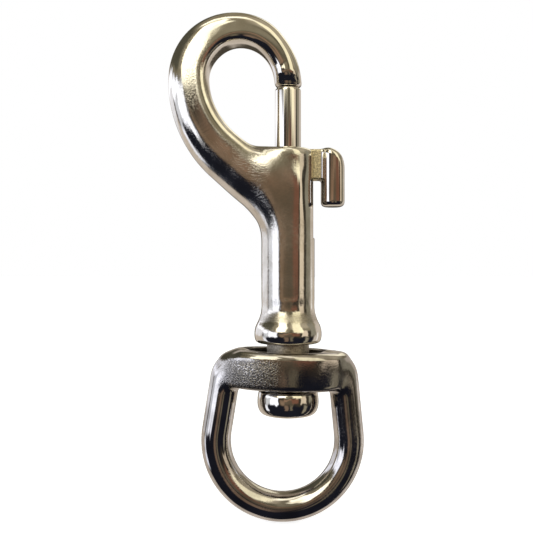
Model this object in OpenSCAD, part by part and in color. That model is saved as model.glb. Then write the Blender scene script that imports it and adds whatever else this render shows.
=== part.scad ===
// Swivel-eye bolt snap: a cast hook closed by a spring-loaded bolt with a thumb latch, and
// a D-shaped eye that swivels on a headed stud. Millimetres, +Z from the eye to the hook.
// The bolt and the swivel share the Z axis, and the origin is on it, level with the centre
// of the eye's round end.

/* [Hook] */
// Centreline radius of the bend over the hook's window
bend_r = 9.3; // [9:0.1:10]
// Height of the bend's centre
bend_z = 67.8; // [67:0.1:70]
// Centreline radius of the limb below the bend
limb_r = 19.2; // [18:0.1:19.4]
// Centreline radius where the limb runs into the barrel
root_r = 15.9; // [15:0.1:16]
// Height at which the limb has become barrel
root_z = 36; // [35:0.1:36.4]
// Height of the tip's end face
tip_z = 66.2; // [66:0.1:66.8]
// Half-width of the tip
tip_w = 2.63; // [2.5:0.01:2.8]
// Half-width of the limb at its outermost point
side_w = 3.9; // [3.5:0.1:4]
// Half-width where the limb meets the barrel
root_w = 4.8; // [4.5:0.1:4.85]
// Thickness of the hook as a share of its width
hook_flat = 0.92; // [0.85:0.01:0.95]

/* [Barrel] */
// Radius of the barrel
barrel_r = 5; // [4.9:0.1:5.2]
// Height of the barrel's mouth
mouth_z = 54.6; // [54.6:0.1:55]
// Rounding of the mouth's outer edge
mouth_round = 1.3; // [0.5:0.1:1.5]
// Height of the barrel's foot
foot_z = 18.3; // [18.1:0.1:18.4]
// Largest radius of the collar
collar_r = 6.3; // [6:0.1:6.6]
// Height of the collar's widest ring above the foot
collar_wide = 1.7; // [1.5:0.1:2]
// Height at which the collar has run out, above the foot
collar_top = 6.9; // [6:0.1:7.5]
// Radius of the bore
bore_r = 2.5; // [2.5:0.01:2.52]
// Width of the slot for the latch
slot_w = 3.2; // [3.1:0.1:3.4]

/* [Bolt and latch] */
// Radius of the bolt
bolt_r = 2.44; // [2.42:0.01:2.46]
// Gap between the closed bolt and the hook's tip
bolt_gap = 0.2; // [0.1:0.05:0.3]
// Height of the shoulder that the spring pushes on
shoulder_z = 44; // [43.5:0.1:44.5]
// Radius of the tail inside the spring
tail_r = 1.35; // [1.2:0.05:1.4]
// Length of the tail
tail_len = 4; // [3:0.1:5]
// Travel of the bolt
travel = 10.6; // [9:0.1:10.6]
// Height of the latch's arm
arm_h = 5.7; // [5:0.1:5.8]
// Thickness of the latch's arm
arm_w = 3; // [2.8:0.1:3]
// Distance from the axis to the knob's inner face
knob_in = 6.2; // [6:0.1:6.3]
// Distance from the axis to the knob's outer face
knob_out = 10.9; // [10.7:0.1:11.1]
// Height of the knob
knob_h = 11; // [10:0.1:11.5]
// Half the knob's thickness
knob_half = 2.7; // [2.4:0.1:2.8]
// Rounding of the knob's outer shoulder
knob_round = 4; // [3:0.1:4.2]
// Radius of the peg that fixes the latch in the bolt
peg_r = 1.1; // [1:0.05:1.2]

/* [Return spring] */
// Radius to the middle of the spring's wire
coil_r = 1.93; // [1.9:0.01:1.95]
// Radius of the spring's wire
wire_r = 0.25; // [0.2:0.01:0.27]
// Number of turns
turns = 12; // [9:1:13]

/* [Swivel stud] */
// Radius of the neck
neck_r = 3.95; // [3.8:0.05:4]
// Largest radius of the head
head_r = 5.75; // [5.5:0.05:6]
// Height of the head's lower face
head_z = 4.8; // [4.6:0.1:4.9]
// Height of the head's upper face
head_top = 9.6; // [9.4:0.1:9.6]
// Length of the spigot pressed into the bore
spigot_len = 6.9; // [6:0.1:7.5]

/* [Eye] */
// Centreline radius of the eye's round end
eye_r = 12.5; // [12.5:0.1:13]
// Radius of the eye's wire
eye_wire = 2.8; // [2.6:0.05:2.9]
// Lean of each arm towards the axis, in degrees
arm_lean = 7.3; // [6:0.1:7.5]
// Height of the crossbar's lower face
bar_z = 9.9; // [9.9:0.1:10]
// Height of the crossbar
bar_h = 7; // [6.5:0.1:7]
// Half the crossbar's length
bar_half = 13.2; // [13:0.1:13.4]
// Half the crossbar's thickness, in the middle
bar_deep = 7; // [6.8:0.1:7.2]
// Rounding of the eye's upper corners
corner_r = 5; // [4:0.1:5.5]
// Centreline radius of the elbows between the arms and the crossbar
elbow_r = 3; // [2.9:0.1:3.5]
// Half-length of the long hole round the neck
hole_half = 7.5; // [7:0.1:7.8]
// Gap at each side of the neck in the hole
neck_gap = 0.15; // [0.1:0.05:0.3]
// Lean of the whole eye, which hangs with play on its stud, in degrees
eye_tilt = 1.8; // [0:0.1:2]
// Sideways play that the crossbar has taken up
eye_shift = -0.6; // [-1.5:0.1:1.5]

/* [Hidden] */
$fn = 96;

// Overrun that lets a cutter pass right through a face, or one shape run into the next
over = 1;
// Gap between faces that only just clear each other
clear = 0.1;

// The limb and the root bend opposite ways, and a straight joins them. These are the two
// centres, the angle that each arc turns through, and the straight's length.
limb_centre = [limb_r - 2 * bend_r, bend_z];
root_centre = [-root_r, root_z];
centre_gap = limb_centre - root_centre;
turn = atan2(centre_gap[1], centre_gap[0]) - acos((limb_r + root_r) / norm(centre_gap));
straight = sqrt(pow(norm(centre_gap), 2) - pow(limb_r + root_r, 2));

// Lengths along the hook's centreline, from the tip's end to the top of the barrel
arc = PI / 180;
to_bend = bend_z - tip_z;
to_side = to_bend + 180 * arc * bend_r;
to_straight = to_side + turn * arc * limb_r;
to_root = to_straight + straight;
hook_len = to_root + turn * arc * root_r;
// The hook keeps its tip's width for this length, and reaches side_w at the next one.
slim_len = 3;
side_len = 28;
hook_rings = 46;
hook_sides = 24;
tip_chamfer = 0.3;
collar_foot_round = 1.1;
collar_rings = 12;

bolt_top = tip_z - bolt_gap;
arm_top = mouth_z - clear;
arm_z = arm_top - arm_h;
slot_z = arm_z - travel - 2 * clear;
seat_x = 1.5;
peg_depth = 2.6;
knob_top = mouth_z + 2 * clear;
knob_z = knob_top - knob_h;
knob_foot_round = 0.8;
edge = 0.3;
spring_z = foot_z + spigot_len;
// Share of the pitch by which the spring's end turns close up
end_close = 0.8;
wire_sides = 8;
rings_a_turn = 14;
head_wide = head_z + 2.4;
head_foot_round = 1.3;
head_top_round = 0.9;
hole_side = neck_r + neck_gap;

// The crossbar's plan would come to a point this far past its ends.
bar_run = 2.2;
// The elbows stay just under the crossbar's flat top.
elbow_drop = 0.1;
bar_mid = bar_z + bar_h / 2;
arm_foot = eye_r * sin(arm_lean);
elbow_z = bar_z + bar_h - eye_wire - elbow_drop - elbow_r;
arm_len = (elbow_z + elbow_r * sin(arm_lean) - arm_foot) / cos(arm_lean);
elbow_x = eye_r * cos(arm_lean) - arm_len * sin(arm_lean) - elbow_r * cos(arm_lean);
eye_sides = 20;
elbow_rings = 8;
round_rings = 48;
// The wire runs from the right elbow round the eye to the left elbow. The arms between the
// elbows and the round end are straight, and the round end runs on past level by their lean.
eye_stops = concat(
    [for (i = [0:elbow_rings])
        [[elbow_x, elbow_z], elbow_r, 90 - (90 - arm_lean) * i / elbow_rings]],
    [for (i = [0:round_rings])
        [[0, 0], eye_r, arm_lean - (180 + 2 * arm_lean) * i / round_rings]],
    [for (i = [0:elbow_rings])
        [[-elbow_x, elbow_z], elbow_r, 180 - arm_lean - (90 - arm_lean) * i / elbow_rings]]);

// A point at this angle on a circle
function on_circle(centre, r, a) = centre + r * [cos(a), sin(a)];

// Smooth rise from 0 to 1
function ease(t) = let (c = min(max(t, 0), 1)) c * c * (3 - 2 * c);

// Radius of the arc through the ends (-half, 0), (half, 0) and the middle (0, rise)
function arc_through(half, rise) = (half * half + rise * rise) / (2 * rise);

// Centre and heading of the hook at a length s from the tip: [x, z, heading]
function hook_at(s) =
    s < to_bend ? [0, tip_z + s, 90]
    : s < to_side ? let (a = (s - to_bend) / arc / bend_r, p = on_circle([-bend_r, bend_z], bend_r, a))
        [p[0], p[1], a + 90]
    : s < to_straight ? let (a = (s - to_side) / arc / limb_r, p = on_circle(limb_centre, -limb_r, a))
        [p[0], p[1], a + 270]
    : s < to_root ? let (p = on_circle(limb_centre, -limb_r, turn), t = s - to_straight)
        [p[0] + t * sin(turn), p[1] - t * cos(turn), turn + 270]
    : let (a = (hook_len - s) / arc / root_r, p = on_circle(root_centre, root_r, a))
        [p[0], p[1], a + 270];

// Half-width of the hook at a length s from the tip: slim at the tip, fuller down the limb
function hook_half(s) =
    tip_w + (side_w - tip_w) * ease((s - slim_len) / (side_len - slim_len))
    + (root_w - side_w) * sin(90 * min(max((s - side_len) / (hook_len - side_len), 0), 1))
    - tip_chamfer * max(0, 1 - s / tip_chamfer);

// One oval ring of the hook, square to its centreline
function hook_ring(s) =
    let (p = hook_at(s), w = hook_half(s))
    [for (j = [0:hook_sides - 1])
        let (t = 360 * j / hook_sides)
        [p[0] + w * cos(t) * sin(p[2]), -hook_flat * w * sin(t), p[1] - w * cos(t) * cos(p[2])]];

// One ring of the spring's wire. The turns lie close at both ends, as on a ground spring.
function spring_height(t, length) = (t - end_close * sin(360 * t) / (2 * PI)) * length;
function spring_ring(t, length) =
    let (a = 360 * turns * t, z = wire_r + spring_height(t, length - 2 * wire_r))
    [for (j = [0:wire_sides - 1])
        let (b = 360 * j / wire_sides, r = coil_r + wire_r * cos(b))
        [r * cos(a), r * sin(a), z + wire_r * sin(b)]];

// One ring of the eye's wire, at a stop given as [arc centre, arc radius, angle on the arc]
function eye_ring(stop) =
    [for (j = [0:eye_sides - 1])
        let (t = 360 * j / eye_sides, p = on_circle(stop[0], stop[1] + eye_wire * cos(t), stop[2]))
        [p[0], eye_wire * sin(t), p[1]]];

// Points of a quarter oval from a to b, leaving a along Z (upright) or along the radius
function quarter(a, b, upright = true, n = 8) =
    [for (i = [0:n])
        let (t = 90 * i / n)
        upright ? [b[0] + (a[0] - b[0]) * cos(t), a[1] + (b[1] - a[1]) * sin(t)]
        : [a[0] + (b[0] - a[0]) * sin(t), b[1] + (a[1] - b[1]) * cos(t)]];

// Closed tube through a list of rings, with flat ends
module tube(rings) {
    n = len(rings[0]);
    last = len(rings) - 1;
    points = [for (ring = rings, p = ring) p];
    sides = [for (i = [0:last - 1], j = [0:n - 1])
        let (k = (j + 1) % n)
        [i * n + j, i * n + k, (i + 1) * n + k, (i + 1) * n + j]];
    foot = [for (j = [n - 1:-1:0]) j];
    top = [for (j = [0:n - 1]) last * n + j];
    polyhedron(points, concat(sides, [foot, top]));
}

module hook_limb() {
    tube([for (i = [0:hook_rings]) hook_ring(i == 0 ? 0 : i == 1 ? tip_chamfer
        : tip_chamfer + (hook_len - tip_chamfer) * (i - 1) / (hook_rings - 1))]);
}

// Ring that takes the sharp edge off the mouth
module mouth_edge() {
    rotate_extrude()
        translate([barrel_r - mouth_round, mouth_z - mouth_round])
            difference() {
                square(mouth_round + over);
                circle(mouth_round);
            }
}

module collar() {
    wide_z = foot_z + collar_wide;
    run = collar_top - collar_wide;
    fall = [for (i = [1:collar_rings])
        let (t = i / collar_rings)
        [barrel_r + (collar_r - barrel_r) * (1 + cos(180 * t)) / 2, wide_z + run * t]];
    rotate_extrude()
        polygon(concat([[0, foot_z]],
            quarter([collar_r - collar_foot_round, foot_z], [collar_r, wide_z], false),
            fall, [[0, foot_z + collar_top]]));
}

module hook_body() {
    color("gainsboro")
    difference() {
        union() {
            hook_limb();
            difference() {
                translate([0, 0, foot_z])
                    cylinder(h = mouth_z - foot_z, r = barrel_r);
                mouth_edge();
            }
            collar();
        }
        translate([0, 0, foot_z - over])
            cylinder(h = mouth_z - foot_z + 2 * over, r = bore_r);
        translate([0, -slot_w / 2, slot_z])
            cube([barrel_r + over, slot_w, mouth_z - slot_z + over]);
    }
}

module bolt() {
    color("silver")
    difference() {
        rotate_extrude()
            polygon([
                [0, shoulder_z - tail_len],
                [tail_r - edge, shoulder_z - tail_len],
                [tail_r, shoulder_z - tail_len + edge],
                [tail_r, shoulder_z],
                [bolt_r, shoulder_z],
                [bolt_r, bolt_top - edge],
                [bolt_r - edge, bolt_top],
                [0, bolt_top]]);
        translate([seat_x, -barrel_r, arm_z])
            cube([barrel_r, 2 * barrel_r, arm_h]);
        translate([seat_x - peg_depth, 0, arm_z + arm_h / 2])
            rotate([0, 90, 0])
                cylinder(h = peg_depth + over, r = peg_r);
    }
}

module knob_outline() {
    difference() {
        translate([knob_in, knob_z])
            square([knob_out - knob_in, knob_h]);
        translate([knob_out - knob_round, knob_top - knob_round])
            difference() {
                square(knob_round + over);
                circle(knob_round);
            }
        translate([knob_out - knob_foot_round, knob_z + knob_foot_round])
            difference() {
                translate([0, -knob_foot_round - over])
                    square(knob_foot_round + over);
                circle(knob_foot_round);
            }
    }
}

module thumb_latch() {
    color("silver") {
        translate([seat_x, -arm_w / 2, arm_z])
            cube([knob_in - seat_x + over, arm_w, arm_h]);
        translate([seat_x - peg_depth + clear, 0, arm_z + arm_h / 2])
            rotate([0, 90, 0])
                cylinder(h = peg_depth, r = peg_r);
        intersection() {
            translate([0, knob_half + over, 0])
                rotate([90, 0, 0])
                    linear_extrude(2 * (knob_half + over))
                        knob_outline();
            translate([knob_out - knob_half, 0, knob_z - over])
                cylinder(h = knob_h + 2 * over, r = knob_half);
        }
    }
}

module return_spring() {
    gap = 0.05;
    length = shoulder_z - spring_z - 2 * gap;
    rings = turns * rings_a_turn;
    color("lightsteelblue")
    translate([0, 0, spring_z + gap])
        tube([for (i = [0:rings]) spring_ring(i / rings, length)]);
}

module swivel_stud() {
    color("gainsboro")
    rotate_extrude()
        polygon(concat([[0, head_z]],
            quarter([head_r - head_foot_round, head_z], [head_r, head_wide], false),
            quarter([head_r, head_wide], [head_r - head_top_round, head_top]),
            [[neck_r, head_top], [neck_r, foot_z], [bore_r, foot_z],
                [bore_r, spring_z], [0, spring_z]]));
}

// Pointed oval between two arcs: half its length along X, and half its width along Y
module lens(half, rise) {
    r = arc_through(half, rise);
    intersection() {
        translate([0, rise - r])
            circle(r, $fn = 180);
        translate([0, r - rise])
            circle(r, $fn = 180);
    }
}

module bar_outline() {
    flat = bar_half - corner_r;
    difference() {
        translate([-bar_half, bar_z])
            square([2 * bar_half, bar_h]);
        for (side = [-1, 1])
            translate([side * flat, bar_z + bar_h - corner_r])
                difference() {
                    translate([(side - 1) / 2 * (corner_r + over), 0])
                        square(corner_r + over);
                    circle(corner_r);
                }
    }
}

module crossbar() {
    // The plan is a long lens, cut off where it is a little thinner than the arms.
    difference() {
        intersection() {
            translate([0, 0, bar_z])
                linear_extrude(bar_h)
                    lens(bar_half + bar_run, bar_deep);
            translate([0, bar_deep + over, 0])
                rotate([90, 0, 0])
                    linear_extrude(2 * (bar_deep + over))
                        bar_outline();
        }
        translate([0, 0, bar_z - over])
            linear_extrude(bar_h + 2 * over)
                lens(hole_half, hole_side);
    }
}

module swivel_eye() {
    color("darkgray")
    translate([eye_shift, 0, bar_mid])
        rotate([0, eye_tilt, 0])
            translate([0, 0, -bar_mid]) {
                tube([for (stop = eye_stops) eye_ring(stop)]);
                crossbar();
            }
}

hook_body();
bolt();
thumb_latch();
return_spring();
swivel_stud();
swivel_eye();
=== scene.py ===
import math

import bpy
import numpy as np
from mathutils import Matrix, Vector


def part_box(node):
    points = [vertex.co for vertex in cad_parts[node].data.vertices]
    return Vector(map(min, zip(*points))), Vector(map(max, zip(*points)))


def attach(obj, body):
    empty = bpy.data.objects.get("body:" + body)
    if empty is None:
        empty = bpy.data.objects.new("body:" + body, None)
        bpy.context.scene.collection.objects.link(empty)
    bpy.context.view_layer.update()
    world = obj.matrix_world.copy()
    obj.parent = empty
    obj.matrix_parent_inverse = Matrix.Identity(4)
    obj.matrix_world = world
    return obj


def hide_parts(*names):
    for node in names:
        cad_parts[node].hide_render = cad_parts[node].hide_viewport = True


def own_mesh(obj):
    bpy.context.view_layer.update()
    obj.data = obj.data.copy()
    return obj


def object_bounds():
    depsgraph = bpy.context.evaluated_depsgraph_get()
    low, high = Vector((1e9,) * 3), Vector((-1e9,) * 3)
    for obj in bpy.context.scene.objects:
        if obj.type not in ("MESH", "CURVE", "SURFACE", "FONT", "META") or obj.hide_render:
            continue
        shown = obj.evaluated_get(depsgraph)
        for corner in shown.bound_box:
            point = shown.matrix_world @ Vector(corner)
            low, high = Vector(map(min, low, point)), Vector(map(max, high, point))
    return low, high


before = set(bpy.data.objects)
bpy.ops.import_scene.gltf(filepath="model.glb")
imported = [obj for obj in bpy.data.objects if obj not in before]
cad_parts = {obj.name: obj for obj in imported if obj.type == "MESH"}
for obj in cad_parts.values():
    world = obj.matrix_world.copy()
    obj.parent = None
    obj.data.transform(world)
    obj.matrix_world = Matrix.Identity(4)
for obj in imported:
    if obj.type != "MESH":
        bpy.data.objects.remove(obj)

cad_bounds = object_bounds()

# ---------------------------------------------------------------------------------------
# Sizes, in millimetres. Outer sizes come from the frame, and the rest are the design's.
# Names that end in _R or _WIRE are radii.
# ---------------------------------------------------------------------------------------
MM = 0.001


def box_mm(node):
    low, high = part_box(node)
    return np.array(low) / MM, np.array(high) / MM


body_low, body_high = box_mm("hook_body")
bolt_low, bolt_high = box_mm("bolt")
latch_low, latch_high = box_mm("thumb_latch")
spring_low, spring_high = box_mm("return_spring")
stud_low, stud_high = box_mm("swivel_stud")
eye_low, eye_high = box_mm("swivel_eye")

FOOT_Z = body_low[2]
MOUTH_Z = 54.6
BARREL_R = 5.0
BORE_R = 2.5
SLOT_HALF = 1.6
SLOT_Z = 38.0

BEND_R = 9.3
BEND_Z = 67.8
LIMB_R = 19.2
ROOT_R = 15.9
ROOT_Z = 36.0
TIP_GAP = 0.2
TIP_Z = bolt_high[2] + TIP_GAP

BOLT_R = bolt_high[1]
SHOULDER_Z = 44.0
TAIL_R = 1.35
ARM_HALF = 1.5
ARM_HEIGHT = 5.7
ARM_TOP = MOUTH_Z - 0.1
ARM_Z = ARM_TOP - ARM_HEIGHT
SEAT_X = 1.5
KNOB_IN = 6.2
KNOB_OUT = latch_high[0]
KNOB_HALF = latch_high[1]
KNOB_Z = latch_low[2]
KNOB_TOP = latch_high[2]

SPRING_TURNS = 12
SPRING_WIRE = 0.25

NECK_R = 3.95
HEAD_R = stud_high[0]
HEAD_Z = stud_low[2]
HEAD_TOP = 9.6
HEAD_WIDE = HEAD_Z + 2.4

EYE_WIRE = 2.78
EYE_R = 12.5
ARM_LEAN = math.radians(7.3)
BAR_LOW = 9.9
BAR_TOP = 16.9
BAR_DEEP = eye_high[1]
BAR_HALF = 13.2
ELBOW_R = 3.0
HOLE_HALF = 7.5
HOLE_SIDE = 4.1
HOLE_PAST = 2
EYE_TILT = math.radians(1.8)
EYE_SHIFT = -0.6

# ---------------------------------------------------------------------------------------
# Distance fields. Each takes arrays of x, y and z, and is negative inside the metal.
# ---------------------------------------------------------------------------------------


def join(a, b, r):
    """Union with a fillet of about r in the corner."""
    h = np.clip(0.5 + 0.5 * (b - a) / r, 0, 1)
    return b + (a - b) * h - r * h * (1 - h)


def trim(a, b, r):
    """Intersection with the edge rounded by about r."""
    return -join(-a, -b, r)


def ease(t):
    """A smooth step from 0 to 1."""
    t = np.clip(t, 0, 1)
    return t * t * (3 - 2 * t)


def ramp(v, start, end):
    """Smoothly from 0 where v is start to 1 where it is end, whichever is the greater."""
    return ease((v - start) / (end - start))


def flowing(s, stops, values):
    """A smooth curve through the values at the stops."""
    stops = np.array(stops, float)
    values = np.array(values, float)
    slopes = np.gradient(values, stops)
    i = np.clip(np.searchsorted(stops, s) - 1, 0, len(stops) - 2)
    gap = stops[i + 1] - stops[i]
    t = np.clip((s - stops[i]) / gap, 0, 1)
    a = values[i] * (1 + 2 * t) * (1 - t) ** 2 + values[i + 1] * t * t * (3 - 2 * t)
    return a + gap * (slopes[i] * t * (1 - t) ** 2 + slopes[i + 1] * t * t * (t - 1))


def near_arc(x, z, centre, radius, first, last):
    """Distance to an arc, length along it from its first angle, and offset outwards."""
    middle = (first + last) / 2
    angle = np.arctan2(z - centre[1], x - centre[0]) - middle
    angle = middle + np.mod(angle + math.pi, 2 * math.pi) - math.pi
    held = np.clip(angle, min(first, last), max(first, last))
    dx = x - centre[0] - radius * np.cos(held)
    dz = z - centre[1] - radius * np.sin(held)
    side = dx * np.cos(held) + dz * np.sin(held)
    return np.hypot(dx, dz), np.abs(held - first) * radius, side


def near_line(x, z, first, last):
    """The same for a straight, with its offset to the left of its run."""
    run = np.array(last) - np.array(first)
    length = np.hypot(*run)
    ux, uz = run / length
    t = np.clip((x - first[0]) * ux + (z - first[1]) * uz, 0, length)
    dx = x - first[0] - t * ux
    dz = z - first[1] - t * uz
    return np.hypot(dx, dz), t, dz * ux - dx * uz


limb_centre = np.array([LIMB_R - 2 * BEND_R, BEND_Z])
root_centre = np.array([-ROOT_R, ROOT_Z])
centre_gap = limb_centre - root_centre
turn = math.atan2(centre_gap[1], centre_gap[0])
turn -= math.acos((LIMB_R + ROOT_R) / np.hypot(*centre_gap))
heading = np.array([math.cos(turn), math.sin(turn)])
limb_end = limb_centre - LIMB_R * heading
root_start = root_centre + ROOT_R * heading
straight = np.hypot(*(root_start - limb_end))

# Lengths along the hook's centreline, from the end of its tip
TO_BEND = BEND_Z - TIP_Z
TO_SIDE = TO_BEND + math.pi * BEND_R
TO_STRAIGHT = TO_SIDE + turn * LIMB_R
TO_ROOT = TO_STRAIGHT + straight

# The section swells from the tip to the root, and the stops are lengths from the tip.
# OUTER and INNER are its half-widths on the two sides of the centreline, and DEEP is half
# its thickness. SQUARE and ROUND are the powers of its inner and outer side, where 2 is
# an oval. LEAN is how far its face tilts outwards.
HOOK_STOPS = [0, 0.6, 1.7, 4.2, 7.5, 11, 16.5, 24, 31, 41, 48, 55, 62, 69]
HOOK_OUTER = [2.66, 2.6, 2.46, 2.2, 2.12, 2.56, 3.0, 3.66, 3.88, 4.22, 4.58, 4.88, 4.6, 3.6]
HOOK_INNER = [2.4, 2.48, 2.62, 2.8, 2.88, 2.88, 2.92, 3.42, 3.7, 4.2, 4.5, 4.4, 4.2, 3.6]
HOOK_DEEP = [2.5, 2.25, 2.85, 3.0, 3.1, 3.15, 3.3, 3.5, 3.6, 3.8, 4.1, 4.5, 4.6, 3.4]
HOOK_SQUARE = [2.3, 2.4, 2.5, 2.6, 3.0, 3.6, 4.2, 4.4, 4.2, 4.2, 4.2, 4.0, 3.4, 2.2]
HOOK_ROUND = [2.2, 2.2, 2.2, 2.2, 2.2, 2.3, 2.4, 2.3, 2.15, 2.1, 2.1, 2.1, 2.1, 2.1]
HOOK_LEAN = [0, 0, 0, 0, 0, 0.02, 0.06, 0.12, 0.13, 0.12, 0.1, 0.05, 0, 0]
TIP_SIDE_Z = MOUTH_Z + 6
TIP_EDGE = 0.9


def hook_tube(x, y, z):
    """The hook's bar, along its centreline from the tip to the root in the barrel."""
    runs = [
        (near_line(x, z, (0, BEND_Z), (0, TIP_Z)), TO_BEND, -1, 1),
        (near_arc(x, z, (-BEND_R, BEND_Z), BEND_R, 0, math.pi), TO_BEND, 1, 1),
        (near_arc(x, z, limb_centre, LIMB_R, math.pi, math.pi + turn), TO_SIDE, 1, 1),
        (near_line(x, z, limb_end, root_start), TO_STRAIGHT, 1, -1),
        (near_arc(x, z, root_centre, ROOT_R, turn, 0), TO_ROOT, 1, -1),
    ]
    far, length, side = None, None, None
    for (d, t, n), start, way, face in runs:
        s = start + way * t
        if far is None:
            far, length, side = d, s, n * face
            continue
        closer = d < far
        far = np.where(closer, d, far)
        length = np.where(closer, s, length)
        side = np.where(closer, n * face, side)
    outward = side > 0
    wide = flowing(length, HOOK_STOPS, HOOK_OUTER)
    wide = np.where(outward, wide, flowing(length, HOOK_STOPS, HOOK_INNER))
    lean = flowing(length, HOOK_STOPS, HOOK_LEAN) * np.clip(side / wide, -1, 1)
    deep = flowing(length, HOOK_STOPS, HOOK_DEEP) * (1 - lean)
    power = flowing(length, HOOK_STOPS, HOOK_SQUARE)
    power = np.where(outward, flowing(length, HOOK_STOPS, HOOK_ROUND), power)
    across = np.maximum(far, np.abs(side)) / wide
    oval = (across**power + np.abs(y / deep) ** power) ** (1 / power)
    tube = (oval - 1) * np.minimum(wide, deep)
    # The tip ends square, with a soft edge.
    by_tip = (x > -BEND_R / 2) & (z > TIP_SIDE_Z)
    return np.where(by_tip, trim(tube, TIP_Z - z, TIP_EDGE), tube)


# Radius of the barrel's foot by height above it: a button with a soft crease on top
COLLAR_STOPS = [-1, 0.5, 1.5, 2.4, 3.0, 3.5, 4.0, 4.5, 5.0, 5.6, 9]
COLLAR_RADII = [5.95, 6.2, 6.32, 6.26, 6.12, 5.92, 5.66, 5.46, 5.28, 5.12, 5.0]
MOUTH_EDGE = 1.6
FOOT_EDGE = 0.9


def barrel(x, y, z):
    """The barrel and its collar, not yet bored."""
    wall = np.hypot(x, y) - flowing(z - FOOT_Z, COLLAR_STOPS, COLLAR_RADII)
    return trim(trim(wall, z - MOUTH_Z, MOUTH_EDGE), FOOT_Z - z, FOOT_EDGE)


ROOT_FILLET = 1.2
FILLET_GROWTH = 2.6
# Where the fillet grows, and where the collar's own roundness takes over, along Z
GROWTH_Z = (42, 50)
COLLAR_Z = (27, 24)
COLLAR_CLEAR = 2
LEVEL_Y = BARREL_R + 0.05
LEVEL_EDGE = 0.5
CUT_TOP = MOUTH_Z + 4
CUT_EDGE = 0.35


def hook_body(x, y, z):
    """The casting: hook and barrel, less the bore and the latch's slot."""
    # The fillet is wide where the limb leaves the barrel's mouth and slight at its root.
    fillet = ROOT_FILLET + FILLET_GROWTH * ramp(z, *GROWTH_Z)
    metal = join(hook_tube(x, y, z), barrel(x, y, z), fillet)
    # Front and back stay level where the two meet, but not down at the collar.
    level = LEVEL_Y + COLLAR_CLEAR * ramp(z, *COLLAR_Z)
    metal = trim(metal, np.abs(y) - level, LEVEL_EDGE)
    bore = np.maximum(np.hypot(x, y) - BORE_R, z - CUT_TOP)
    slot = np.maximum(np.maximum(SLOT_Z - z, z - CUT_TOP), -x)
    slot = np.maximum(slot, np.abs(y) - SLOT_HALF)
    return trim(trim(metal, -bore, CUT_EDGE), -slot, CUT_EDGE)


PIN_EDGE = 0.5
SHOULDER_EDGE = 0.3
TAIL_EDGE = 0.4
TAIL_FILLET = 0.2
TAIL_IN = 1
NOTCH_EDGE = 0.15


def bolt(x, y, z):
    """The sliding pin, with its tail in the spring and a notch for the latch's arm."""
    r = np.hypot(x, y)
    pin = trim(r - BOLT_R, z - bolt_high[2], PIN_EDGE)
    pin = trim(pin, SHOULDER_Z - z, SHOULDER_EDGE)
    tail = trim(r - TAIL_R, bolt_low[2] - z, TAIL_EDGE)
    tail = np.maximum(tail, z - SHOULDER_Z - TAIL_IN)
    notch = np.maximum(np.maximum(SEAT_X - x, ARM_Z - z), z - ARM_TOP)
    return trim(join(pin, tail, TAIL_FILLET), -notch, NOTCH_EDGE)


def block(x, y, z, low, high, r):
    """Box with its edges rounded by r."""
    centre = (np.array(low) + np.array(high)) / 2
    half = (np.array(high) - np.array(low)) / 2 - r
    qx = np.abs(x - centre[0]) - half[0]
    qy = np.abs(y - centre[1]) - half[1]
    qz = np.abs(z - centre[2]) - half[2]
    out = np.sqrt(np.maximum(qx, 0) ** 2 + np.maximum(qy, 0) ** 2 + np.maximum(qz, 0) ** 2)
    return out + np.minimum(np.maximum(np.maximum(qx, qy), qz), 0) - r


ARM_EDGE = 0.35
ARM_PAST = 2
KNOB_POWER = 2.4
KNOB_SHOULDER = 4
KNOB_EDGE = 1.2
KNOB_FOOT_EDGE = 1.0
KNOB_FILLET = 0.5
TINY = 1e-9


def thumb_latch(x, y, z):
    """The knob and its arm."""
    arm_end = KNOB_IN + ARM_PAST
    arm = block(x, y, z, (SEAT_X, -ARM_HALF, ARM_Z), (arm_end, ARM_HALF, ARM_TOP), ARM_EDGE)
    # The knob is an oval bar with a sloping outer shoulder.
    half = (KNOB_OUT - KNOB_IN) / 2
    across = np.abs((x - KNOB_IN) / half - 1)
    oval = np.sqrt(across**KNOB_POWER + np.abs(y / KNOB_HALF) ** KNOB_POWER + TINY)
    side = (oval ** (2 / KNOB_POWER) - 1) * half
    past_x = np.maximum(x - KNOB_OUT + KNOB_SHOULDER, 0)
    past_z = np.maximum(z - KNOB_TOP + KNOB_SHOULDER, 0)
    slope = np.hypot(past_x, past_z) - KNOB_SHOULDER
    knob = trim(trim(side, slope, KNOB_EDGE), KNOB_Z - z, KNOB_FOOT_EDGE)
    return join(arm, knob, KNOB_FILLET)


# The head draws in by HEAD_DRAW at its foot, and by less at its top, where the curve
# would end HEAD_RISE higher.
HEAD_DRAW = 1.5
HEAD_RISE = 1.2
HEAD_FOOT_EDGE = 0.7
HEAD_TOP_EDGE = 0.6
NECK_FILLET = 0.5
NECK_IN = 1


def swivel_stud(x, y, z):
    """Head, neck and the spigot that closes the bore."""
    r = np.hypot(x, y)
    above = HEAD_TOP + HEAD_RISE - HEAD_WIDE
    tall = np.where(z < HEAD_WIDE, HEAD_WIDE - HEAD_Z, above)
    part = np.clip(np.abs(z - HEAD_WIDE) / tall, 0, 1)
    drawn_in = HEAD_DRAW * (1 - np.sqrt(1 - part**2))
    head = trim(r - HEAD_R + drawn_in, HEAD_Z - z, HEAD_FOOT_EDGE)
    head = trim(head, z - HEAD_TOP, HEAD_TOP_EDGE)
    neck = np.maximum(r - NECK_R, np.maximum(z - FOOT_Z, HEAD_Z + NECK_IN - z))
    spigot = np.maximum(r - BORE_R, np.maximum(z - stud_high[2], HEAD_TOP - z))
    return np.minimum(join(head, neck, NECK_FILLET), spigot)


def lens(x, y, half, rise):
    """Pointed oval in plan, of this half-length along X and half-width along Y."""
    r = (half * half + rise * rise) / (2 * rise)
    return np.hypot(x, np.abs(y) + r - rise) - r


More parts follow.
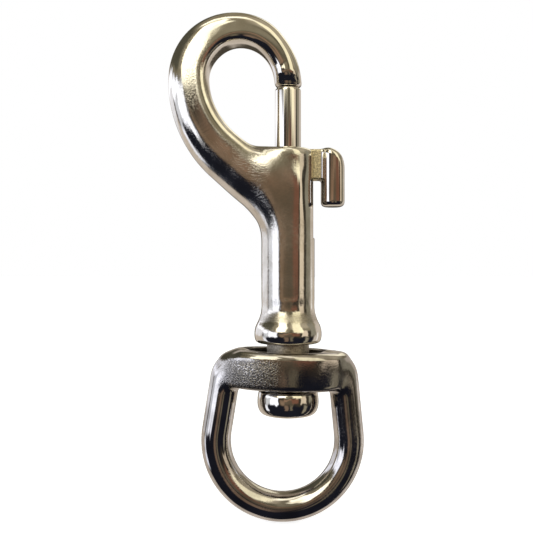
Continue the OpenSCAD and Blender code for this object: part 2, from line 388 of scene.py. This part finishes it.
ELBOW_BELOW = 0.1
arm_foot = EYE_R * math.sin(ARM_LEAN)
elbow_z = BAR_TOP - ELBOW_BELOW - EYE_WIRE - ELBOW_R
arm_length = (elbow_z + ELBOW_R * math.sin(ARM_LEAN) - arm_foot) / math.cos(ARM_LEAN)
elbow_x = (EYE_R - ELBOW_R) * math.cos(ARM_LEAN) - arm_length * math.sin(ARM_LEAN)


# The cast corner at the right is a fuller ball than the other, flattened front to back.
CORNER_X = 10.15
CORNER_Z = 12.98
CORNER_R = 3.3
CORNER_FLAT = 1.2
CORNER_FILLET = 0.6
# The crossbar's plan would run to points BAR_POINT past its ends, and it is cut BAR_CUT
# short of its ends.
BAR_POINT = 1.2
BAR_CUT = 1.6
BAR_END_EDGE = 2.0
BAR_BULGE = 0.2
BAR_EDGE = 1.3
BAR_FILLET = 1.4
HOLE_EDGE = 0.6
# How far the crossbar thins towards both ends, and its top towards the left, each with
# the stretch along X over which it does so
END_THIN = 0.25
END_X = (6, 13)
LEFT_THIN = 1.3
LEFT_X = (-8, -12)


def swivel_eye(x, y, z):
    """The ring and its crossbar, with the long hole round the neck."""
    # The eye leans on its stud, about the middle of the crossbar.
    middle = (BAR_LOW + BAR_TOP) / 2
    dx, dz = x - EYE_SHIFT, z - middle
    x = dx * math.cos(EYE_TILT) - dz * math.sin(EYE_TILT)
    z = dx * math.sin(EYE_TILT) + dz * math.cos(EYE_TILT) + middle
    right = np.abs(x)
    foot = EYE_R * np.array([math.cos(ARM_LEAN), math.sin(ARM_LEAN)])
    head = foot + arm_length * np.array([-math.sin(ARM_LEAN), math.cos(ARM_LEAN)])
    below = near_arc(right, z, (0, 0), EYE_R, -math.pi / 2, ARM_LEAN)[0]
    arm = near_line(right, z, foot, head)[0]
    elbow = near_arc(right, z, (elbow_x, elbow_z), ELBOW_R, ARM_LEAN, math.pi / 2)[0]
    wire = np.hypot(np.minimum(np.minimum(below, arm), elbow), y) - EYE_WIRE
    flat_y = CORNER_FLAT * y
    corner = np.sqrt((x - CORNER_X) ** 2 + (z - CORNER_Z) ** 2 + flat_y**2) - CORNER_R
    wire = join(wire, corner, CORNER_FILLET)
    tall = (BAR_TOP - BAR_LOW) / 2
    bulge = BAR_BULGE * np.clip(np.abs(z - middle) / tall, 0, 1) ** 2
    plan = lens(x, y, BAR_HALF + BAR_POINT, BAR_DEEP)
    bar = trim(plan + bulge, right - BAR_HALF + BAR_CUT, BAR_END_EDGE)
    ends = END_THIN * ramp(right, *END_X)
    ends = ends + np.where(z > middle, LEFT_THIN * ramp(x, *LEFT_X), 0)
    bar = trim(bar, np.abs(z - middle) - tall + ends, BAR_EDGE)
    hole = np.maximum(lens(x, y, HOLE_HALF, HOLE_SIDE), BAR_LOW - HOLE_PAST - z)
    return trim(join(wire, bar, BAR_FILLET), -hole, HOLE_EDGE)


# ---------------------------------------------------------------------------------------
# Meshes
# ---------------------------------------------------------------------------------------


def slope_of(field, p, h=0.01):
    """The field's gradient at the points."""
    steps = np.eye(3) * h
    parts = [field(*(p + d).T) - field(*(p - d).T) for d in steps]
    return np.stack(parts, 1) / (2 * h)


# The longest step of a point towards the surface, and the least square of the slope
# that it is divided by
LONGEST_STEP = 0.3
LEAST_SQUARE = 0.05
# How far a point moves towards the middle of its neighbours
EVENING = 0.6


def settle(field, p, rounds=3):
    """Moves points onto the field's surface."""
    for _ in range(rounds):
        g = slope_of(field, p)
        f = field(*p.T)
        step = f / np.maximum((g * g).sum(1), LEAST_SQUARE)
        p = p - g * step[:, None].clip(-LONGEST_STEP, LONGEST_STEP)
    return p


def net(field, low, high, step):
    """Quads over the field's surface, with one point in each cell that it crosses."""
    axes = [np.arange(a - 1.5 * step, b + 2.5 * step, step) for a, b in zip(low, high)]
    shape = [len(a) for a in axes]
    values = np.empty(shape)
    for i, x in enumerate(axes[0]):
        y, z = np.meshgrid(axes[1], axes[2], indexing="ij")
        values[i] = field(np.full(y.shape, x), y, z)
    solid = values < 0
    cells = [s - 1 for s in shape]
    corners = [(i, j, k) for i in (0, 1) for j in (0, 1) for k in (0, 1)]

    def corner(array, c):
        return array[c[0] : c[0] + cells[0], c[1] : c[1] + cells[1], c[2] : c[2] + cells[2]]

    count = sum(corner(solid, c).astype(np.int8) for c in corners)
    crossed = (count > 0) & (count < 8)
    number = np.full(cells, -1)
    number[crossed] = np.arange(crossed.sum())
    where = np.argwhere(crossed)
    total = np.zeros((len(where), 3))
    hits = np.zeros(len(where))
    for c in corners:
        for axis in range(3):
            if c[axis]:
                continue
            d = tuple(v + (n == axis) for n, v in enumerate(c))
            a = corner(values, c)[crossed]
            b = corner(values, d)[crossed]
            cut = (a < 0) != (b < 0)
            t = np.where(cut, a / np.where(cut, a - b, 1), 0)
            spot = np.tile(np.array(c, float), (len(where), 1))
            spot[:, axis] = t
            total += spot * cut[:, None]
            hits += cut
    points = (where + total / hits[:, None]) * step + np.array([a[0] for a in axes])
    quads = []
    for axis in range(3):
        u, v = [(1, 2), (2, 0), (0, 1)][axis]
        a = solid[tuple(slice(0, -1) if n == axis else slice(1, -1) for n in range(3))]
        b = solid[tuple(slice(1, None) if n == axis else slice(1, -1) for n in range(3))]
        spots = np.argwhere(a != b) + np.array([0 if n == axis else 1 for n in range(3)])
        leaving = a[a != b]

        def around(du, dv):
            q = spots.copy()
            q[:, u] += du
            q[:, v] += dv
            return number[tuple(q.T)]

        ring = np.stack([around(-1, -1), around(0, -1), around(0, 0), around(-1, 0)], 1)
        ring[~leaving] = ring[~leaving][:, ::-1]
        quads.append(ring)
    return points, np.concatenate(quads)


def relax(field, points, quads, rounds):
    """Evens the points out along the surface, so that it shades smoothly."""
    a = quads.ravel()
    b = np.roll(quads, -1, 1).ravel()
    weight = np.bincount(a, minlength=len(points)) + np.bincount(b, minlength=len(points))
    for _ in range(rounds):
        total = np.zeros_like(points)
        for n in range(3):
            total[:, n] += np.bincount(a, points[b, n], len(points))
            total[:, n] += np.bincount(b, points[a, n], len(points))
        evened = points * (1 - EVENING) + EVENING * total / weight[:, None]
        points = settle(field, evened, 1)
    return settle(field, points, 2)


def add_mesh(name, points, faces, material, body, nodes):
    mesh = bpy.data.meshes.new(name)
    mesh.from_pydata((np.asarray(points) * MM).tolist(), [], [list(f) for f in faces])
    mesh.polygons.foreach_set("use_smooth", np.ones(len(mesh.polygons), bool))
    mesh.update()
    piece = bpy.data.objects.new(name, mesh)
    bpy.context.scene.collection.objects.link(piece)
    mesh.materials.append(material)
    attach(piece, body)
    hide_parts(*nodes)
    return piece


def nowhere(x, y, z):
    """A mark that is 0 everywhere."""
    return 0 * x


# Distances from the surface at which other metal makes a nook
REACHES = (0.8, 2.2)


def cast(name, field, box, step, material, body, nodes, raw=nowhere, sandy=nowhere):
    """One solid piece; raw and sandy say where its surface is left as cast, or pitted."""
    points, quads = net(field, box[0], box[1], step)
    points = relax(field, points, quads, 3)
    piece = add_mesh(name, points, quads.tolist(), material, body, nodes)
    out = slope_of(field, points)
    out /= np.linalg.norm(out, axis=1)[:, None]
    # How closed in each point is by nearby metal; the steel paints shade into these nooks.
    near = [np.clip(1 - field(*(points + out * reach).T) / reach, 0, 1) for reach in REACHES]
    nook = sum(near) / len(REACHES)
    for label, value in (("nook", nook), ("raw", raw(*points.T)), ("sandy", sandy(*points.T))):
        layer = piece.data.attributes.new(label, "FLOAT", "POINT")
        layer.data.foreach_set("value", np.asarray(value, np.float32))
    return piece


# How near to a raw surface a point lies to be raw itself, how wide a rim stays bright,
# and how far the long hole's raw wall, painted near black with shade, reaches over its rounded
# edge
SKIN = 0.1
EDGE_BRIGHT = 0.3
HOLE_RAW = 0.35
# The crease over the collar: its lower and upper side, by height above the foot
CREASE_LOW = (3.6, 4.4)
CREASE_HIGH = (6.6, 5.0)
CREASE_RAW = 0.55


def raw_hook(x, y, z):
    """The bore, the slot's sides and the crease over the collar."""
    bore = (np.hypot(x, y) < BORE_R + SKIN) & (z < MOUTH_Z - EDGE_BRIGHT)
    slot = (np.abs(y) < SLOT_HALF + SKIN / 2) & (x > 0) & (x < BARREL_R - EDGE_BRIGHT)
    slot = slot & (z > SLOT_Z) & (z < MOUTH_Z)
    crease = ramp(z - FOOT_Z, *CREASE_LOW) * ramp(z - FOOT_Z, *CREASE_HIGH)
    return np.maximum(1.0 * (bore | slot), CREASE_RAW * crease)


def raw_latch(x, y, z):
    """The arm."""
    return 1.0 * (x < KNOB_IN - SKIN / 2)


def raw_stud(x, y, z):
    """The neck."""
    return 1.0 * (z > HEAD_TOP + SKIN)


def raw_and_shaded_hole(x, y, z):
    """The walls of the long hole: raw, and painted near black with shade."""
    wall = lens(x - EYE_SHIFT, y, HOLE_HALF, HOLE_SIDE) < HOLE_RAW
    return 1.0 * (wall & (z > BAR_LOW - HOLE_PAST / 2))


LIMB_SANDY = 0.17
FRONT_SANDY = 0.14
SANDY_FADE = 0.85


def sandy_hook(x, y, z):
    """The lower limb and the barrel's front, where the casting's grain still shows."""
    limb = ramp(z, 34, 40) * ramp(z, 62, 52) * ramp(x, -2.5, -6.5)
    front = ramp(z, 22, 26) * ramp(z, 55, 49) * ramp(x, -9, -5) * ramp(x, 2.5, -0.5)
    return LIMB_SANDY * limb + FRONT_SANDY * front


def sandy_eye(x, y, z):
    """The crossbar's front and back, worst towards one end."""
    across = ramp(x, -13, -10) * (1 - SANDY_FADE * ramp(x, -3.5, 0))
    return across * ramp(z, 9.5, 11) * ramp(z, 16.2, 15)


END_CLOSE = 0.8


def spring_mesh(turns, wire, low, high, mean, sides=12, per_turn=36):
    """A helix whose end turns lie close, as on a ground spring."""
    t = np.linspace(0, 1, turns * per_turn + 1)
    length = high - low - 2 * wire
    height = low + wire + (t - END_CLOSE * np.sin(2 * np.pi * t) / (2 * np.pi)) * length
    around = 2 * np.pi * turns * t
    b = 2 * np.pi * np.arange(sides) / sides
    r = mean + wire * np.cos(b)[None, :]
    x = r * np.cos(around)[:, None]
    y = r * np.sin(around)[:, None]
    z = height[:, None] + wire * np.sin(b)[None, :]
    points = np.stack([x, y, z], 2).reshape(-1, 3)
    faces = []
    for i in range(len(t) - 1):
        a, b = i * sides, (i + 1) * sides
        for j in range(sides):
            k = (j + 1) % sides
            faces.append([a + j, a + k, b + k, b + j])
    faces.append(list(range(sides))[::-1])
    faces.append([(len(t) - 1) * sides + j for j in range(sides)])
    return points, faces


# ---------------------------------------------------------------------------------------
# Materials
# ---------------------------------------------------------------------------------------


# Noise scales, in cells to the metre
CLOUDS = 260
PATCHES = 90
WAVES = 420
GRAIN = 3600
FINE_PITS = 3400
SAND = 4200
CRUST = 3000
SOOT = (0.13, 0.125, 0.12)
NOOK_SHADE = (0.05, 0.045, 0.04)
CRUDE = (0.55, 0.5, 0.42)


def steel(name, pale, dark, rough, pits, waves, patch=0.5, crude_and_shade=CRUDE):
    """Cast steel, tumbled and polished: cloudy tint, slight waves, fine grain in patches.

    Its roughness runs between the two values of rough. The pieces say where it is pitted,
    where it is left unpolished, and where it lies in a nook, into which shade is painted. On
    the eye that unpolished tint is painted shade as well.
    """
    material = bpy.data.materials.new(name)
    material.use_nodes = True
    tree = material.node_tree
    nodes, links = tree.nodes, tree.links
    shader = nodes["Principled BSDF"]
    shader.inputs["Metallic"].default_value = 1.0
    place = nodes.new("ShaderNodeTexCoord").outputs["Object"]

    def noise(scale, detail):
        node = nodes.new("ShaderNodeTexNoise")
        node.inputs["Scale"].default_value = scale
        node.inputs["Detail"].default_value = detail
        links.new(place, node.inputs["Vector"])
        return node.outputs["Fac"]

    def mark(label):
        node = nodes.new("ShaderNodeAttribute")
        node.attribute_name = label
        return node.outputs["Fac"]

    def remap(value, a, b, c, d):
        node = nodes.new("ShaderNodeMapRange")
        node.interpolation_type = "SMOOTHSTEP"
        for socket, v in zip(("From Min", "From Max", "To Min", "To Max"), (a, b, c, d)):
            node.inputs[socket].default_value = v
        links.new(value, node.inputs["Value"])
        return node.outputs["Result"]

    def combine(kind, a, b):
        node = nodes.new("ShaderNodeMath")
        node.operation = kind
        links.new(a, node.inputs[0])
        links.new(b, node.inputs[1])
        return node.outputs["Value"]

    def blend(factor, a, b):
        node = nodes.new("ShaderNodeMix")
        node.data_type = "RGBA"
        links.new(factor, node.inputs["Factor"])
        for socket, colour in (("A", a), ("B", b)):
            if isinstance(colour, tuple):
                node.inputs[socket].default_value = (*colour, 1)
            else:
                links.new(colour, node.inputs[socket])
        return node.outputs["Result"]

    raw = mark("raw")
    area = remap(noise(PATCHES, 2), patch - 0.08, patch + 0.12, 0.1, 1)
    worn = combine("MULTIPLY", area, remap(noise(GRAIN, 3), 0.35, 0.65, 0, 1))
    pitted = combine("MULTIPLY", mark("sandy"), remap(noise(SAND, 2), 0.36, 0.58, 0, 1))
    crust = combine("MULTIPLY", raw, noise(CRUST, 3))
    colour = blend(remap(noise(CLOUDS, 4), 0.3, 0.7, 0, 1), dark, pale)
    colour = blend(remap(pitted, 0, 1, 0, 0.75), colour, SOOT)
    speckle = combine("MULTIPLY", raw, remap(noise(FINE_PITS, 2), 0.4, 0.6, 0, 0.5))
    # Unpolished surfaces take their own tint with darker pits; on the eye that tint is painted
    # shade, near black.
    colour = blend(speckle, blend(raw, colour, crude_and_shade), tuple(0.3 * c for c in crude_and_shade))
    # Painted shade: the more closed in a point is, the darker it goes, up to nine tenths.
    colour = blend(remap(mark("nook"), 0.15, 0.75, 0, 0.9), colour, NOOK_SHADE)
    links.new(colour, shader.inputs["Base Color"])
    dull = remap(worn, 0, 1, *rough)
    dull = combine("MAXIMUM", dull, remap(raw, 0, 1, 0, 0.5))
    dull = combine("MAXIMUM", dull, remap(pitted, 0, 1, 0, 0.35))
    links.new(dull, shader.inputs["Roughness"])
    normal = None
    # Each relief: its height, its depth in metres and its strength, less than 0 for pits
    heights = [
        (noise(WAVES, 1), 0.00006, waves),
        (combine("MULTIPLY", area, noise(FINE_PITS, 2)), 0.000024, pits),
        (pitted, 0.00006, -0.5),
        (crust, 0.00008, 0.5),
    ]
    for source, distance, strength in heights:
        bump = nodes.new("ShaderNodeBump")
        bump.invert = strength < 0
        bump.inputs["Distance"].default_value = distance
        bump.inputs["Strength"].default_value = abs(strength)
        links.new(source, bump.inputs["Height"])
        if normal is not None:
            links.new(normal, bump.inputs["Normal"])
        normal = bump.outputs["Normal"]
    links.new(normal, shader.inputs["Normal"])
    return material


BRIGHT = (0.86, 0.83, 0.78)
WARM = (0.70, 0.66, 0.59)
GROUND = (0.76, 0.73, 0.68)
BRASSY = (0.98, 0.88, 0.62)
SHADE = (0.10, 0.09, 0.08)
EYE_PALE = (0.73, 0.70, 0.68)
EYE_DARK = (0.48, 0.455, 0.43)
WIRE_PALE = (0.7, 0.7, 0.7)
WIRE_DARK = (0.5, 0.5, 0.5)
body_steel = steel("body_steel", BRIGHT, WARM, rough=(0.06, 0.22), pits=0.36, waves=0.06)
bolt_steel = steel(
    "bolt_steel", BRIGHT, GROUND, rough=(0.05, 0.12), pits=0.1, waves=0.03, patch=0.6
)
latch_steel = steel(
    "latch_steel", BRIGHT, WARM, rough=(0.06, 0.22), pits=0.25, waves=0.08, crude_and_shade=BRASSY
)
spring_steel = steel(
    "spring_steel", WIRE_PALE, WIRE_DARK, rough=(0.2, 0.4), pits=0.2, waves=0.1
)
stud_steel = steel("stud_steel", BRIGHT, WARM, rough=(0.05, 0.2), pits=0.2, waves=0.08)
# The eye's unpolished tint is painted shade: its long hole's walls go near black.
eye_steel = steel(
    "eye_steel", EYE_PALE, EYE_DARK, rough=(0.06, 0.22), pits=0.3, waves=0.08, crude_and_shade=SHADE
)

# ---------------------------------------------------------------------------------------
# Pieces: name, field, box, mesh step in millimetres, steel, body and CAD nodes
# ---------------------------------------------------------------------------------------
body_box = (body_low, body_high)
cast("hook_and_barrel", hook_body, body_box, 0.28, body_steel, "hook",
     ["hook_body"], raw=raw_hook, sandy=sandy_hook)
bolt_box = (bolt_low, bolt_high)
cast("sliding_bolt", bolt, bolt_box, 0.16, bolt_steel, "bolt", ["bolt"])
latch_box = (latch_low, latch_high)
cast("latch_knob", thumb_latch, latch_box, 0.15, latch_steel, "bolt",
     ["thumb_latch"], raw=raw_latch)
stud_box = (stud_low, stud_high)
cast("stud", swivel_stud, stud_box, 0.2, stud_steel, "hook",
     ["swivel_stud"], raw=raw_stud)
eye_box = (eye_low, eye_high)
cast("eye_ring", swivel_eye, eye_box, 0.24, eye_steel, "eye",
     ["swivel_eye"], raw=raw_and_shaded_hole, sandy=sandy_eye)

spring_mean = spring_high[1] - SPRING_WIRE
spring_foot, spring_top = spring_low[2], spring_high[2]
coil_points, coil_faces = spring_mesh(
    SPRING_TURNS, SPRING_WIRE, spring_foot, spring_top, spring_mean
)
coil = add_mesh(
    "coil_spring", coil_points, coil_faces, spring_steel, "hook",
    ["return_spring"],
)
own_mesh(coil)

# ---------------------------------------------------------------------------------------
# Floor, light and camera
# ---------------------------------------------------------------------------------------
WHITE = (1, 1, 1, 1)
FLOOR_HALF = 3.0
FLOOR_GAP = 0.0002
FLOOR_TINT = (0.72, 0.78, 0.92, 1)
FLOOR_ROUGH = 0.9
FLOOR_GLOW = 0.8


def floor():
    """A pale sheet under the part that takes its shadow and isn't mirrored."""
    drop = cad_bounds[0][2] - FLOOR_GAP
    corners = [(-1, -1), (1, -1), (1, 1), (-1, 1)]
    points = [(x * FLOOR_HALF, y * FLOOR_HALF, drop) for x, y in corners]
    mesh = bpy.data.meshes.new("floor")
    mesh.from_pydata(points, [], [(0, 1, 2, 3)])
    plane = bpy.data.objects.new("floor", mesh)
    bpy.context.scene.collection.objects.link(plane)
    material = bpy.data.materials.new("floor")
    material.use_nodes = True
    shader = material.node_tree.nodes["Principled BSDF"]
    shader.inputs["Base Color"].default_value = FLOOR_TINT
    shader.inputs["Roughness"].default_value = FLOOR_ROUGH
    shader.inputs["Emission Color"].default_value = WHITE
    shader.inputs["Emission Strength"].default_value = FLOOR_GLOW
    mesh.materials.append(material)
    plane.visible_glossy = False


# The room that the metal mirrors, each patch over the ones before it: its range of azimuth
# and of elevation and its softness, all in degrees, and its light. Azimuth is 0 towards
# the camera's side and grows to the right.
ROOM = [
    # Dim walls: near black at eye level, olive above
    ((-100, 100), (-8, 11), 8, (0.05, 0.042, 0.03)),
    ((-115, 115), (14, 95), 10, (0.27, 0.235, 0.16)),
    ((-400, 400), (21, 95), 8, (0.27, 0.235, 0.16)),
    ((-170, -62), (20, 58), 10, (0.09, 0.085, 0.06)),
    ((-7, 10), (9, 14), 6, (0.12, 0.105, 0.065)),
    ((6, 26), (17, 34), 8, (0.12, 0.105, 0.065)),
    ((6, 130), (30, 85), 10, (0.46, 0.40, 0.29)),
    # Brown and reddish things low in front
    ((-13, 22), (-5, 6), 7, (0.13, 0.10, 0.068)),
    ((-31, -13), (-6, 5), 8, (0.26, 0.18, 0.12)),
    ((-18, 14), (5, 10), 6, (0.34, 0.215, 0.14)),
    ((-14, -1), (-30, -7), 6, (0.21, 0.145, 0.10)),
    ((5, 16), (-30, -6), 6, (0.17, 0.145, 0.10)),
    ((12, 40), (-2, 10), 6, (0.21, 0.10, 0.065)),
    # Lamps and pale walls on the right
    ((60, 74), (-45, -9), 6, (0.30, 0.27, 0.20)),
    ((116, 124), (-45, 0), 4, (1.0, 0.98, 0.95)),
    ((48, 72), (-5, 16), 4, (0.80, 0.68, 0.52)),
    ((84, 110), (-4, 40), 6, (0.28, 0.26, 0.20)),
    ((28, 52), (9, 60), 7, (1.2, 1.1, 0.78)),
    ((17, 52), (13, 60), 6, (1.3, 1.2, 0.85)),
    # A warm ceiling lamp, up on the left
    ((-44, -11), (15, 56), 7, (2.5, 2.35, 1.85)),
    ((-20, -5), (30, 44), 6, (1.8, 1.7, 1.3)),
    # The window on the left, with its frame
    ((-150, -100), (9, 18), 6, (1.4, 1.46, 1.65)),
    ((-150, -100), (-5, 9), 4, (0.92, 0.93, 1.0)),
    ((-98, -83), (-30, -8), 5, (1.1, 1.15, 1.3)),
    ((-92, -68), (-8, 5), 5, (0.75, 0.78, 0.86)),
    ((-100, -66), (5, 14), 4, (1.5, 1.56, 1.75)),
    ((-72, -38), (-8, 13), 5, (1.5, 1.56, 1.75)),
    ((-98, -92), (-6, 3), 3, (0.15, 0.14, 0.14)),
    # A light overhead, and the far side of the room
    ((-70, 30), (60, 74), 8, (1.9, 1.8, 1.45)),
    ((156, 200), (-16, 8), 8, (0.07, 0.06, 0.045)),
    ((-200, -156), (-16, 8), 8, (0.07, 0.06, 0.045)),
    ((140, 170), (24, 52), 8, (1.3, 1.22, 0.95)),
]
# The light where nothing else is, and of the table behind the object
NIGHT = (0.012, 0.013, 0.02)
TABLE = (0.62, 0.55, 0.48)
# Where the table begins, as the cosine of the angle from straight behind the object,
# and how softly
TABLE_EDGE = 0.08
TABLE_SOFT = 0.14
WOBBLE = 0.28
WOBBLE_SCALE = 3.5
WOBBLE_DETAIL = 3


def surroundings():
    """White to the camera. The metal sees a pale table behind it and the dim room."""
    world = bpy.data.worlds.new("room")
    bpy.context.scene.world = world
    world.use_nodes = True
    nodes, links = world.node_tree.nodes, world.node_tree.links
    nodes.clear()
    out = nodes.new("ShaderNodeOutputWorld")
    back = nodes.new("ShaderNodeBackground")
    links.new(back.outputs[0], out.inputs["Surface"])
    direction = nodes.new("ShaderNodeTexCoord").outputs["Generated"]
    # A slow wobble keeps the room's edges from being ruled lines.
    wobble = nodes.new("ShaderNodeTexNoise")
    wobble.inputs["Scale"].default_value = WOBBLE_SCALE
    wobble.inputs["Detail"].default_value = WOBBLE_DETAIL
    links.new(direction, wobble.inputs["Vector"])
    bent = nodes.new("ShaderNodeVectorMath")
    bent.operation = "MULTIPLY_ADD"
    bent.inputs[1].default_value = (WOBBLE,) * 3
    links.new(wobble.outputs["Color"], bent.inputs[0])
    links.new(direction, bent.inputs[2])
    middle = nodes.new("ShaderNodeVectorMath")
    middle.operation = "ADD"
    middle.inputs[1].default_value = (-WOBBLE / 2,) * 3
    links.new(bent.outputs["Vector"], middle.inputs[0])
    unit = nodes.new("ShaderNodeVectorMath")
    unit.operation = "NORMALIZE"
    links.new(middle.outputs["Vector"], unit.inputs[0])
    parts = nodes.new("ShaderNodeSeparateXYZ")
    links.new(unit.outputs["Vector"], parts.inputs[0])

    def math_node(kind, a, b=None):
        node = nodes.new("ShaderNodeMath")
        node.operation = kind
        for n, v in enumerate((a, b)):
            if v is None:
                continue
            if isinstance(v, (int, float)):
                node.inputs[n].default_value = v
            else:
                links.new(v, node.inputs[n])
        return node.outputs[0]

    away = math_node("MULTIPLY", parts.outputs[1], -1)
    azimuth = math_node("MULTIPLY", math_node("ARCTAN2", parts.outputs[0], away), 180 / math.pi)
    rise = math_node("MULTIPLY", math_node("ARCSINE", parts.outputs[2]), 180 / math.pi)

    def between(value, low, high, soft):
        edges = []
        for at, way in ((low, 1), (high, -1)):
            node = nodes.new("ShaderNodeMapRange")
            node.interpolation_type = "SMOOTHSTEP"
            node.inputs["From Min"].default_value = at - way * soft / 2
            node.inputs["From Max"].default_value = at + way * soft / 2
            links.new(value, node.inputs["Value"])
            edges.append(node.outputs["Result"])
        return math_node("MULTIPLY", *edges)

    def over(below, colour, mask):
        mix = nodes.new("ShaderNodeMix")
        mix.data_type = "RGBA"
        mix.clamp_factor = True
        links.new(mask, mix.inputs["Factor"])
        if isinstance(below, tuple):
            mix.inputs["A"].default_value = (*below, 1)
        else:
            links.new(below, mix.inputs["A"])
        mix.inputs["B"].default_value = (*colour, 1)
        return mix.outputs["Result"]

    table = between(parts.outputs[1], TABLE_EDGE, 2, TABLE_SOFT)
    colour = over(NIGHT, TABLE, table)
    for across, up, soft, tint in ROOM:
        mask = math_node("MULTIPLY", between(azimuth, *across, soft), between(rise, *up, soft))
        colour = over(colour, tint, mask)
    white = nodes.new("ShaderNodeMix")
    white.data_type = "RGBA"
    links.new(nodes.new("ShaderNodeLightPath").outputs["Is Camera Ray"], white.inputs["Factor"])
    links.new(colour, white.inputs["A"])
    white.inputs["B"].default_value = WHITE
    links.new(white.outputs["Result"], back.inputs["Color"])


# The camera's place and its near limit in metres, and its lens in millimetres
CAMERA_AT = (-0.00404, -0.1348, 0.0326)
CAMERA_NEAR = 0.005
CAMERA_LENS = 48.4


def camera():
    data = bpy.data.cameras.new("camera")
    data.lens = CAMERA_LENS
    data.clip_start = CAMERA_NEAR
    view = bpy.data.objects.new("camera", data)
    view.location = CAMERA_AT
    view.rotation_euler = (math.pi / 2, 0, 0)
    bpy.context.scene.collection.objects.link(view)
    bpy.context.scene.camera = view


floor()
surroundings()
camera()
bpy.context.scene.view_settings.view_transform = "Standard"
